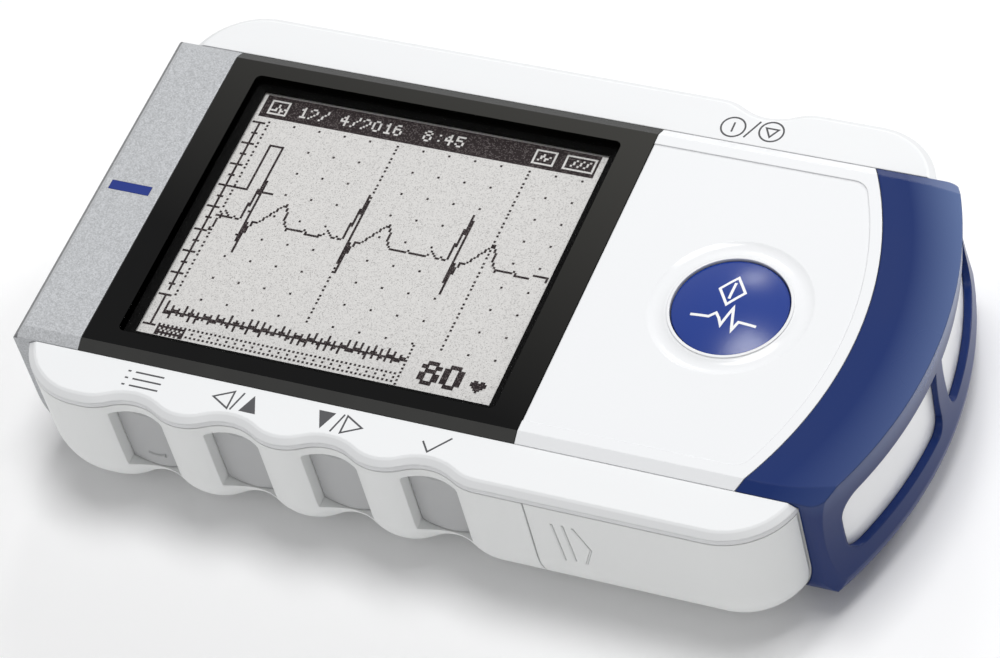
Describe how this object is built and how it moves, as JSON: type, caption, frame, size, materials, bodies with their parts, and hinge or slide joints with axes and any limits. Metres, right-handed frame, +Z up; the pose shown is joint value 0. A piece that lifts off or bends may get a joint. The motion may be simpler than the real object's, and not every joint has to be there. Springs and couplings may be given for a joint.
{
  "type": "home heart monitor",
  "caption": "Handheld heart monitor with a dark framed screen, round blue start button, scalloped side keys, sliding battery cover and electrodes at both ends.",
  "frame": {"origin": "middle of the bounding box in plan, on the surface that the underside lies on", "axes": "+X from the chest electrode to the finger grip, +Y towards the rail that carries the power key, +Z up through the screen"},
  "size_m": [0.121, 0.067, 0.024],
  "materials": {
    "case_white": "smooth white, low gloss",
    "case_grey": "fine satin, pale warm grey",
    "panel_white": "smooth white gloss",
    "silver_paint": "fine-grained metallic satin",
    "blue_plastic": "soft satin, deep blue",
    "button_blue": "smooth gloss, blue",
    "inlay_blue": "smooth, blue",
    "key_grey": "satin grey",
    "window_black": "high gloss, near black with a clear middle",
    "screen_glass": "grey reflective screen",
    "holder_plastic": "matte",
    "backing_white": "matte white",
    "switch_plastic": "matte black",
    "plunger_plastic": "matte ivory",
    "board_green": "lacquered laminate",
    "flex_amber": "translucent film",
    "tape_grey": "adhesive film",
    "electrode_steel": "fine satin steel",
    "contact_brass": "plated strip",
    "contact_steel": "nickel plated",
    "screw_steel": "zinc plated",
    "cell_wrap": "printed film on a steel can"
  },
  "bodies": {
    "case": {"top_cover": "case_white", "rear_cover": "case_grey", "end_cap": "silver_paint", "line_inlay": "inlay_blue", "grip_frame": "blue_plastic", "display_window": "window_black", "window_tape": "tape_grey", "start_panel": "panel_white", "panel_tape": "tape_grey", "start_switch": "switch_plastic", "side_switches": "switch_plastic", "power_switch": "switch_plastic", "side_key_board": "board_green", "power_key_board": "board_green", "lcd_glass": "screen_glass", "lcd_holder": "holder_plastic", "lcd_backing": "backing_white", "lcd_flex": "flex_amber", "main_board": "board_green", "beeper": "switch_plastic", "cell_left": "cell_wrap", "cell_right": "cell_wrap", "cell_springs": "contact_steel", "cell_plates": "contact_steel", "chest_electrode": "electrode_steel", "electrode_nut": "contact_brass", "chest_contact": "contact_brass", "finger_electrode_front": "electrode_steel", "finger_electrode_rear": "electrode_steel", "finger_contact_front": "contact_brass", "finger_contact_rear": "contact_brass", "case_screws": "screw_steel"},
    "battery_door": {"battery_cover": "case_grey"},
    "start": {"start_button": "button_blue", "start_plunger": "plunger_plastic"},
    "menu": {"menu_key": "key_grey", "menu_plunger": "plunger_plastic"},
    "left": {"left_key": "key_grey", "left_plunger": "plunger_plastic"},
    "right": {"right_key": "key_grey", "right_plunger": "plunger_plastic"},
    "ok": {"ok_key": "key_grey", "ok_plunger": "plunger_plastic"},
    "power": {"power_key": "key_grey", "power_plunger": "plunger_plastic"}
  },
  "joints": [
    {"name": "battery_door_slide", "type": "slide", "parent": "case", "child": "battery_door", "axis": [1, 0, 0], "range_m": [0, 0.036]},
    {"name": "start_press", "type": "slide", "parent": "case", "child": "start", "axis": [0, 0, -1], "range_m": [0, 0.0004], "stiffness_N_per_m": 800, "springref_m": -0.001},
    {"name": "menu_press", "type": "slide", "parent": "case", "child": "menu", "axis": [0, 1, 0], "range_m": [0, 0.0004], "stiffness_N_per_m": 800, "springref_m": -0.001},
    {"name": "left_press", "type": "slide", "parent": "case", "child": "left", "axis": [0, 1, 0], "range_m": [0, 0.0004], "stiffness_N_per_m": 800, "springref_m": -0.001},
    {"name": "right_press", "type": "slide", "parent": "case", "child": "right", "axis": [0, 1, 0], "range_m": [0, 0.0004], "stiffness_N_per_m": 800, "springref_m": -0.001},
    {"name": "ok_press", "type": "slide", "parent": "case", "child": "ok", "axis": [0, 1, 0], "range_m": [0, 0.0004], "stiffness_N_per_m": 800, "springref_m": -0.001},
    {"name": "power_press", "type": "slide", "parent": "case", "child": "power", "axis": [0, -1, 0], "range_m": [0, 0.0004], "stiffness_N_per_m": 800, "springref_m": -0.001}
  ]
}
